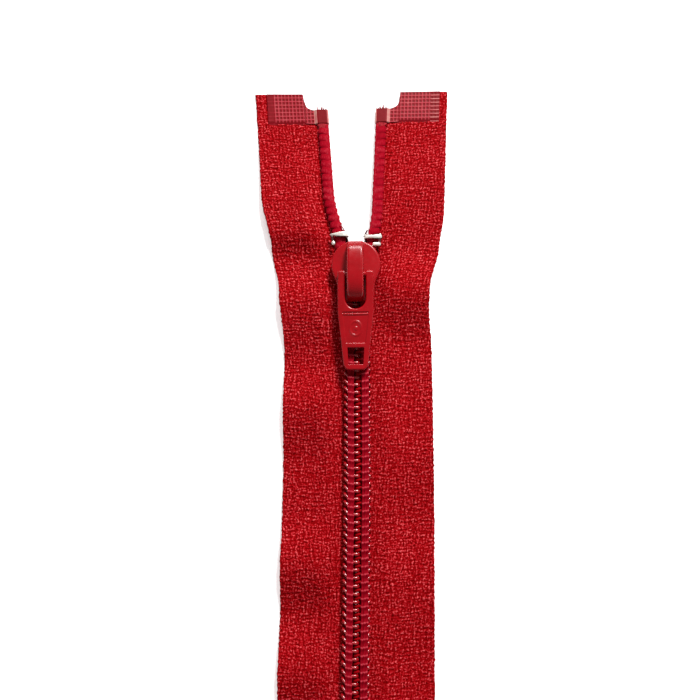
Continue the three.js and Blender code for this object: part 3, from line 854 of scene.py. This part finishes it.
def offset_profile(profile, step):
    """Points at even steps along a (u, z) profile that starts on top, and their outward normals."""
    profile = np.asarray(profile, dtype=float)
    marks = np.concatenate([[0], np.cumsum(np.hypot(*np.diff(profile, axis=0).T))])
    at = np.append(np.arange(0, marks[-1], step), marks[-1])
    u = np.interp(at, marks, profile[:, 0])
    z = np.interp(at, marks, profile[:, 1])
    du, dz = np.gradient(u), np.gradient(z)
    size = np.hypot(du, dz)
    turn = -1 if du[0] < 0 else 1
    return u, z, -turn * dz / size, turn * du / size


def pressed_lines(position, pitch):
    """One on the raised lines of the pressed grid and nought in its squares."""
    return smooth((np.abs((position / pitch) % 1 - 0.5) * 2 - 0.55) / 0.35)


def wrapped_film(run, name, profile, ys, cut, grid_from, grid_to):
    """Thin film along a folded (u, z) profile, with a pressed square grid on its outer face and a free
    edge that sinks into the cloth."""
    u, z, nu, nz = offset_profile(profile, 0.13)
    y = ys[:, None]
    shift = notch_at(np.clip(u, 0, None))[None, :] * cut[:, None]
    lines_u = pressed_lines(u - grid_from, GRID_ACROSS)[None, :]
    lines_y = pressed_lines(y - shift - ys[-1], GRID_ALONG)
    on_top = (nz > 0.5) & (u > grid_from) & (u < grid_to)
    at_open_end = ys[0] > 0
    free = y - ys[0] if at_open_end else ys[-1] - y
    grid = np.maximum(lines_u, lines_y) * on_top[None, :] * smooth((free - 0.2) / 0.5)
    sink = 0.14 * (1 - smooth(free / 0.8))
    lift = FILM_THICK + GRID_RISE * grid - sink
    along = y - shift + skew_at(run, u[None, :], y)
    outer = place(run, u + nu * lift, along, z + nz * lift)
    inner = place(run, u - nu * sink, along, z - nz * sink)
    ring = np.concatenate([outer, inner[:, ::-1]], axis=1)
    n = ring.shape[1]
    faces = grid_faces(len(ys), n)
    for row in (0, len(ys) - 1):
        for j in range(n // 2 - 1):
            a, b = row * n + j, row * n + n - 1 - j
            quad = (a, a + 1, b - 1, b)
            faces.append(quad if row == 0 else quad[::-1])
    # Painted highlight: light strips where the top film steps down off the bead and at its folded inner
    # edge.
    pale = ((u > 2.2) & (u < 2.86)) | (u < 0.12)
    plain = np.where(pale & (nz > -0.5) & at_open_end, 1.2, 0.1)
    margin = (nz > 0.5) & (u >= grid_to) & at_open_end
    plain = np.where(margin, 0.15 + 0.35 * lines_y, plain)
    fray = (u > grid_to - 1.9) & (run["side"] > 0) & at_open_end
    grid = np.where(fray, 1.2 * lines_y, grid)
    value = np.concatenate([np.where(on_top, grid, plain), np.zeros_like(grid)], axis=1)
    return place_mesh(name, ring, faces, FILM, {"grid": value})


def over_tape(run, y, lift, us):
    """Points (u, z) of a film's profile, raised above the tape's underside."""
    return [(u, float(under_at(run, np.array(u), np.array(y))) + lift) for u in us]


FILM_LIFT = THICK - 0.02  # a film's inner face above the tape's underside: on top, then below
FILM_DROP = 0.02


def top_film(run, name):
    """End film over the tape's open end and round its bead, cut with the same notch."""
    y = LENGTH - 1.0
    outer = WIDTH - run["bare"]
    grid_to = WIDTH - 3.3 if run["side"] < 0 else outer
    _, bead_z, _, bead_half = cord_spot(LENGTH)
    over = bead_z + bead_half + 0.03
    outside = over_tape(run, y, FILM_LIFT, np.linspace(outer, 2.85, 24))
    hump = [(2.35, over - 0.1), (2.1, over), (0.2, over), (-0.08, over - 0.15), (-0.1, RELAXED_Z + 0.1)]
    under = over_tape(run, y, FILM_DROP, [0.1, *np.linspace(0.6, outer, 20)])
    ys = np.linspace(LENGTH - TOP_FILM, LENGTH, 61)
    s = ys - ys[0]
    cut = 0.6 * np.clip(s / 2.8, 0, 1) + 0.4 * np.clip((s - 2.8) / 4.1, 0, 1)
    return wrapped_film(run, name, [*outside, *hump, *under], ys, cut, 2.9, grid_to)


def bottom_film(run, name):
    """End film folded round the outer edge of the tape's foot."""
    inner = 4.3
    top = over_tape(run, 1.0, FILM_LIFT, np.linspace(inner, WIDTH, 24))
    low = over_tape(run, 1.0, FILM_DROP, np.linspace(WIDTH, inner, 24))
    fold = [(WIDTH + 0.07, MARGIN_Z + 0.4), (WIDTH + 0.07, MARGIN_Z + 0.1)]
    ys = np.linspace(0, BOTTOM_FILM, 180)
    return wrapped_film(run, name, [*top, *fold, *low], ys, np.zeros(len(ys)), inner, WIDTH)


# ---- metal parts ----
# In the slider's parts, s runs along the chain from the mouth end and is negative further down.
SLIDER_HALF = 4.95  # half widths of the slider at its widest and at its tail
TAIL_HALF = 3.75
SLIDER_LENGTH = 12.6
ARCH = 5.0  # length of the rounded mouth end
UPPER_WING = (3.75, 4.75)  # heights
LOWER_WING = (0, 0.85)
LOWER_MOUTH = -1.35  # the lower wing starts further down


def wing_half(s, mouth):
    """Half width of a wing: a rounded mouth end, a waist, and a tail with eased corners."""
    arch = ARCH + mouth
    if s > -ARCH:
        k = (s + ARCH) / arch
        return SLIDER_HALF * max(0.0, 1 - k ** 2.2) ** (1 / 2.2)
    waist = float(smooth((-s - 5.4) / 4.2))
    end = max(0.0, -s - SLIDER_LENGTH + 0.8) / 0.8
    return SLIDER_HALF + (TAIL_HALF - SLIDER_HALF) * waist - 0.7 * end * end


def wing_outline(mouth):
    """Closed outline of a wing, with its points closer together round the mouth."""
    arch = ARCH + mouth
    marks = [mouth - arch * (1 - math.cos(k * math.pi / 48)) for k in range(1, 25)]
    lower = [-ARCH - (SLIDER_LENGTH - ARCH) * k / 40 for k in range(1, 41)]
    right = [(wing_half(s, mouth), s) for s in [*marks, *lower]]
    return [(0.0, mouth), *right, *[(-x, s) for x, s in right[::-1]]]


# Inner side of a flange, from the mouth to the tail.
FLANGE = [(4.28, -3.8), (4.0, -4.9), (3.65, -6), (3.3, -7.2), (3.16, -8.4), (3.16, -12.3)]


def slider_body():
    """Die-cast slider: two wings, the neck wedge that joins them, and the side flanges."""
    upper, lower = wing_outline(0), wing_outline(LOWER_MOUTH)
    wedge = [(0, -4.9), (0.92, -1.1), (0.8, -0.5), (-0.8, -0.5), (-0.92, -1.1)]
    root = [(0, -4.9), (0.92, -1.7), (0.8, -1.5), (-0.8, -1.5), (-0.92, -1.7)]
    marks = [-12.3, -9.6, -8.4, -7.5, -6.6, -5.7, -5, -4.4, -3.8]
    flange = FLANGE + [(wing_half(s, 0) - 0.06, s) for s in marks]

    def field(x, s, z):
        ax = np.abs(x)
        top = slab(upper, x, s, z + 0.006 * x * x, *UPPER_WING, 0.36)
        low = slab(lower, x, s, z, *LOWER_WING, 0.22)
        sides = slab(flange, ax, s, z, 1.78, 4.1, 0.15)
        neck = np.minimum(slab(wedge, x, s, z, 2.3, 4.2, 0.12), slab(root, x, s, z, 0.4, 2.6, 0.12))
        body = soft_min(top, sides, 0.25)
        body = soft_min(body, neck, 0.2)
        body = soft_min(body, low, 0.2)
        hole = brick(x, s, z, (-0.55, -11.6, 3), (0.55, -10.6, 6), 0.1)
        lug = brick(ax, s, z, (-1.62, -2.1, 4.3), (1.62, -0.9, 4.74), 0.1)
        return soft_max(soft_min(body, lug, 0.15), -hole, 0.08)

    points, faces = solid(field, (-5.2, -12.9, -0.25), (5.2, 0.3, 5.05), 0.115)
    return place_mesh("slider_body_cast", points + [0, MOUTH, 0], faces, ENAMEL)


# Side outlines (s, z) of the crown and of its hollow, before their corners are eased.
CROWN = [
    (-0.35, 4.2), (-0.36, 5.2), (-0.42, 5.8), (-0.58, 6.35), (-0.9, 6.9), (-1.4, 7.35), (-2.1, 7.72),
    (-3.0, 7.98), (-4.2, 8.15), (-5.5, 8.2), (-7.6, 8.19), (-8.8, 8.12), (-9.8, 7.95), (-10.7, 7.6),
    (-11.4, 7.15), (-12.0, 6.5), (-12.4, 5.85), (-12.65, 5.2), (-12.75, 4.2),
]
HOLLOW = [
    (-1.2, 4), (-1.2, 5.9), (-1.8, 6.8), (-3.0, 7.4), (-4.6, 7.6),
    (-8.8, 7.55), (-10.3, 7.2), (-11.2, 6.6), (-11.8, 5.8), (-11.95, 4),
]


def eased(outline, times):
    """The closed outline with its corners cut again and again, until it reads as a curve."""
    points = np.array(outline, dtype=float)
    for _ in range(times):
        after = np.roll(points, -1, axis=0)
        near, far = 0.75 * points + 0.25 * after, 0.25 * points + 0.75 * after
        points = np.stack([near, far], axis=1).reshape(-1, 2)
    return points.tolist()


def crown_cap():
    """Hollow bridge over the tab's bar, rounded like a casting."""
    back, inside = eased(CROWN, 3), eased(HOLLOW, 2)

    def field(x, s, z):
        shell = slab(back, s, z, x, -1.65, 1.65, 0.5)
        hollow = slab(inside, s, z, x, -1.15, 1.15, 0.2)
        gap = plate(np.abs(s - PIVOT[0]) - 0.75, z, 3, PIVOT[1] + 0.72, 0.45) + 0 * x
        body = soft_max(shell, -hollow, 0.08)
        body = soft_max(body, -gap, 0.12)
        nose = np.exp(-((s + 1.15) / 0.5) ** 2 - (x / 0.75) ** 2)
        chips = 0.05 * nose * np.sin(9.5 * x + 2) * np.sin(8.5 * s + 2 * x)
        return np.maximum(body + chips, 4.77 - z)

    points, faces = solid(field, (-1.9, -13.1, 4.5), (1.9, 0.0, 8.5), 0.085)
    return place_mesh("crown_cap_cast", points + [0, MOUTH, 0], faces, ENAMEL)


TAB_HALF = 3.6  # half width of the tab down to where it starts to narrow
TAB_SHOULDER = 7.6
TAB_SLOT = 2.07  # half width of the slot at the bar, and the centre of its round end
TAB_SLOT_END = 4.93
TAB_MARK = 11.0  # centre of the raised mark


def tab_outline():
    """Closed outline of the tab, with its slot open at the bar."""
    turns = [k * math.pi / 24 for k in range(13)]
    slot = [(TAB_SLOT * math.sin(a), TAB_SLOT_END + TAB_SLOT * math.cos(a)) for a in turns]
    side = [(TAB_SLOT, -0.8), (3.3, -0.8), (3.5, -0.72), (TAB_HALF, -0.45)]
    for v in (TAB_SHOULDER, 9, 11, 13, 15, 17, 18.3):
        side.append((TAB_HALF - 1.25 * (v - TAB_SHOULDER) / (TAB_LENGTH - TAB_SHOULDER), v))
    tip = [(2.3, 18.6), (2.1, 18.95), (1.8, 19.2), (1.35, TAB_LENGTH)]
    right = [*slot, *side, *tip]
    return right + [(-x, v) for x, v in right[::-1]]


def pull_tab():
    """Tab in its own frame: v runs from the pivot to the tip, w is up when it lies closed."""
    outline = tab_outline()
    panel = [(-2.6, 8.3), (2.6, 8.3), (1.95, 14.0), (-1.95, 14.0)]
    window = [(-1.62, 14.9), (1.62, 14.9), (1.45, 18.15), (-1.45, 18.15)]

    def field(x, v, w):
        crowned = w + 0.008 * x * x + 0.32 * np.maximum(0, -0.35 - v)
        body = slab(outline, x, v, crowned, -0.6, 0.6, 0.3)
        inset = slab(panel, x, v, w, 0.44, 3, 0.1)
        body = soft_max(body, -inset, 0.1)
        groove = plate(np.hypot(np.maximum(np.abs(x) - 2.5, 0), v - 7.85) - 0.16, w, 0.42, 3, 0.05)
        body = soft_max(body, -groove, 0.08)
        ring = np.abs(np.hypot(x, 0.8 * (v - TAB_MARK)) - 1.15) - 0.16
        body = soft_min(body, plate(ring, w, 0.2, 0.52, 0.14), 0.14)
        pip = np.hypot(x, v - TAB_MARK) - 0.4
        body = soft_min(body, plate(pip, w, 0.2, 0.52, 0.14), 0.14)
        hole = plate(outline_distance(window, x, v) - 0.02, w, -2, 2, 0.05)
        body = soft_max(body, -hole, 0.2)
        bar = plate(np.hypot(v, w) - 0.55, x, -2.3, 2.3, 0.05)
        return soft_min(body, bar, 0.15)

    points, faces = solid(field, (-3.9, -1.1, -0.9), (3.9, 19.6, 0.9), 0.095)
    x, v, w = points.T
    c, s = math.cos(TAB_TILT), math.sin(TAB_TILT)
    y = MOUTH + PIVOT[0] - v * c - w * s
    z = PIVOT[1] - v * s + w * c
    return place_mesh("pull_tab_cast", np.stack([x, y, z], -1), faces, ENAMEL)


def top_stop(run, name):
    """Clip crimped round the bead: two ridges with a groove, and a bent claw at its inner corner."""
    outer = [
        (3.1, 2.7), (2.95, 3.1), (2.6, 3.42), (2.0, 3.5), (0.2, 3.5), (-0.3, 3.4), (-0.6, 3.1),
        (-0.7, 2.7), (-0.7, 0.8), (-0.6, 0.45), (-0.3, 0.3), (2.9, 0.3), (2.95, 0.94), (-0.1, 0.94),
        (-0.15, 1.05), (-0.15, 2.55), (-0.05, 2.72), (2.45, 2.72), (2.85, 2.25), (3.02, 2.2),
    ]
    left = run["side"] < 0
    ridge_at, ridge_half, claw_to = (2.75, 0.64, 5.0) if left else (2.15, 0.45, 3.6)
    low_at, low_from = (0.95, 2.15) if left else (0.55, 1.25)

    def field(u, t, z):
        skin = outline_distance(outer, u, z)
        taper = 0.45 * smooth(u / 3.0) if left else 0.06 * np.sin(2.2 * u)
        ridge = soft_max(skin, np.abs(t - ridge_at) - ridge_half + taper, 0.4)
        low = soft_max(skin + 0.06, np.abs(t - low_at) - 0.4, 0.35)
        low = soft_max(low, low_from - u, 0.3)
        back = soft_max(skin + 0.03, np.maximum(np.abs(t - 1.75) - 1.65, z - 1.0), 0.15)
        joint = soft_max(skin + 0.2, np.maximum(np.abs(t - 1.7) - 1.2, 2.35 - u), 0.2)
        body = soft_min(soft_min(ridge, low, 0.1), np.minimum(back, joint), 0.1)
        lean = u + 0.5 - 0.3 * (t - 3.0)
        reach = np.maximum(np.abs(t - 0.5 * (2.4 + claw_to)) - 0.5 * (claw_to - 2.4), 0)
        claw = np.hypot(np.hypot(lean, z - 2.9), reach) - 0.2 + 0.06 * np.clip(t - 3.0, 0, 2)
        return soft_min(body, claw, 0.12)

    points, faces = solid(field, (-1.1, -0.2, 0.05), (3.4, 5.4, 3.8), 0.09)
    u, t, z = points.T
    moved = place(run, u, MOUTH - 0.9 + t, z)
    # Painted shade: the clip is darker on its sides, in the groove between its ridges, and by half past
    # the upper ridge.
    sides = smooth((3.25 - z) / 0.4)
    between = smooth((t - low_at - 0.35) / 0.2) * smooth((ridge_at - 0.3 - t) / 0.2)
    beyond = smooth((t - ridge_at - ridge_half - 0.1) / 0.3)
    return place_mesh(name, moved, faces, SILVER, {"painted_shade": 0.8 * (sides + between) + 0.5 * beyond})


def pin(side, name):
    """Moulded metal pin on the tape's inner edge, with two shallow grip grooves."""

    def field(x, y, z):
        nose = 0.3 * smooth((y - 13.2) / 1.4)
        body = plate(np.abs(x - 1.675) - 1.075 + nose, z, 1.52, 3.4, 0.4)
        body = soft_max(body, np.abs(y - 7.775) - 6.825, 0.3)
        grooves = np.minimum(np.abs(y - 9.4), np.abs(y - 11.4))
        return body + 0.1 * np.exp(-((grooves / 0.22) ** 2))

    points, faces = solid(field, (0.3, 0.6, 1.2), (3.1, 14.9, 3.7), 0.12)
    return place_mesh(name, points * [side, 1, 1], faces if side > 0 else faces[:, ::-1], SILVER)


def retainer_box():
    """Box that holds both pins, with a raised frame and a grip panel on its face."""

    def field(x, y, z):
        ax = np.abs(x)
        flat = brick(x, y, 0 * z, (-4.2, 0, -9), (4.2, 7.5, 9), 0.7)
        body = plate(flat, z, 0, 4.1, 0.35)
        slot = brick(ax, y, z, (0.25, -2, 0.85), (6, 9, 1.7), 0.05)
        well = brick(ax, y, z, (0.5, 0.8, 1.3), (2.87, 9, 3.52), 0.15)
        body = soft_max(body, -slot, 0.08)
        body = soft_max(body, -well, 0.08)
        panel = plate(brick(ax, y, 0 * z, (-3.3, 1.2, -9), (3.3, 6.3, 9), 0.4), z, 3.95, 6, 0.1)
        body = soft_max(body, -panel, 0.08)
        for centre in (2.3, 3.75, 5.2):
            rib = brick(x, y, z, (-2.7, centre - 0.22, 3.7), (2.7, centre + 0.22, 4.08), 0.12)
            body = soft_min(body, rib, 0.08)
        return body

    points, faces = solid(field, (-4.5, -0.3, -0.3), (4.5, 7.8, 4.4), 0.11)
    return place_mesh("retainer_box_cast", points, faces, SILVER)


def lock_spring():
    """Leaf spring with the bent locking tooth."""
    leaf = [
        (-3.2, 6.62), (-9.6, 6.62), (-10.9, 5.3), (-11.25, 5.3), (-11.25, 5.75), (-9.7, 6.82),
        (-3.2, 6.82),
    ]
    tooth = [(-10.9, 5.6), (-10.9, 3.9), (-11.1, 3.5), (-11.25, 3.5), (-11.25, 5.6)]

    def field(x, s, z):
        strip = slab(leaf, s, z, x, -0.85, 0.85, 0.05)
        return soft_min(strip, slab(tooth, s, z, x, -0.4, 0.4, 0.05), 0.1)

    points, faces = solid(field, (-1.1, -11.6, 3.2), (1.1, -2.9, 7.1), 0.06)
    return place_mesh("lock_spring_strip", points + [0, MOUTH, 0], faces, STEEL)


# For each side: what builds the piece, its name, its CAD node and finish, and whether it bends.
STRANDS = (
    (tape, "tape_woven", "tape", "tape_fabric", True),
    (coil, "coil_filament", "coil", "coil_nylon", True),
    (core_cord, "core_cord_braid", "core_cord", "cord_fibre", True),
    (stitching, "stitching_threads", "stitching", "stitching_thread", True),
    (top_film, "top_film_embossed", "top_film", "end_film", False),
    (bottom_film, "bottom_film_embossed", "bottom_film", "end_film", True),
    (top_stop, "top_stop_clip", "top_stop", "silver_metal", False),
)
for key, run in RUNS.items():
    end = f"{key}_tape_end"
    for build, kind, node, slot, bends in STRANDS:
        piece = build(run, f"{key}_{kind}")
        if bends:
            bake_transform(piece)
        else:
            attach(piece, end)
        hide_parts(f"{key}_{node}")

# Each metal piece, the body it rides on, its CAD node and its finish.
METAL = (
    (pin(-1, "insertion_pin_moulded"), "chain", "insertion_pin", "silver_metal"),
    (pin(1, "box_pin_moulded"), "chain", "box_pin", "silver_metal"),
    (retainer_box(), "chain", "retainer_box", "silver_metal"),
    (slider_body(), "slider", "slider_body", "red_paint"),
    (crown_cap(), "slider", "crown_cap", "red_paint"),
    (lock_spring(), "lock", "lock_spring", "spring_steel"),
    (pull_tab(), "pull", "pull_tab", "red_paint"),
)
for piece, body, node, slot in METAL:
    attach(piece, body)
    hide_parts(node)


# ---- stage ----
CAMERA_AT = Vector((0.01067, -0.00318, 0.19755))
CAMERA_TARGET = Vector((-0.00005, 0.03528, 0.0))
CAMERA_ANGLE = math.radians(38.95)
FLOOR_HALF = 2500.0  # millimetres
FLOOR_Z = -0.02
# Name, place, target, size and power of each light.
LIGHTS = (
    ("key", (0.17, 0.47, 0.41), (0, 0.03, 0), 0.14, 5.4),
    ("top", (-0.03, 0.60, 0.40), (0, 0.06, 0), 0.10, 0.8),
    ("fill", (-0.45, -0.25, 0.55), (0, 0.02, 0), 0.6, 0.4),
)


def floor():
    """Pale paper-like floor."""
    m = Nodes(
        "pale_floor", Roughness=0.9, Specular_IOR_Level=0.1,
        Emission_Color=(1, 1, 1, 1), Emission_Strength=0.5,
    )
    m.colour(m.noise(8), (0.3, (0.9, 0.9, 0.9)), (0.7, (0.92, 0.92, 0.92)))
    signs = ((-1, -1), (1, -1), (1, 1), (-1, 1))
    corners = [(a * FLOOR_HALF, b * FLOOR_HALF, FLOOR_Z) for a, b in signs]
    ground = place_mesh("floor", corners, [(0, 1, 2, 3)], m)


def area_light(name, where, target, size, power):
    """Soft round light that faces its target."""
    data = bpy.data.lights.new(name, "AREA")
    data.shape = "DISK"
    data.size = size
    data.energy = power
    light = bpy.data.objects.new(name, data)
    light.location = where
    light.rotation_euler = (Vector(target) - Vector(where)).to_track_quat("-Z", "Y").to_euler()
    bpy.context.scene.collection.objects.link(light)


def camera():
    """Camera above the slider, with the tapes running up the frame."""
    data = bpy.data.cameras.new("camera")
    data.sensor_width = 36
    data.angle = CAMERA_ANGLE
    data.clip_start = 0.01
    cam = bpy.data.objects.new("camera", data)
    back = (CAMERA_AT - CAMERA_TARGET).normalized()
    right = Vector((0, 1, 0)).cross(back).normalized()
    up = back.cross(right)
    turn = Matrix((right, up, back)).transposed().to_4x4()
    cam.matrix_world = Matrix.Translation(CAMERA_AT) @ turn
    bpy.context.scene.collection.objects.link(cam)
    bpy.context.scene.camera = cam


def world():
    """Even white light from all round."""
    studio = bpy.data.worlds.new("studio")
    studio.use_nodes = True
    background = studio.node_tree.nodes["Background"]
    background.inputs["Color"].default_value = (1, 1, 1, 1)
    background.inputs["Strength"].default_value = 0.21
    bpy.context.scene.world = studio


floor()
camera()
for light in LIGHTS:
    area_light(*light)
world()
bpy.context.scene.view_settings.view_transform = "Standard"
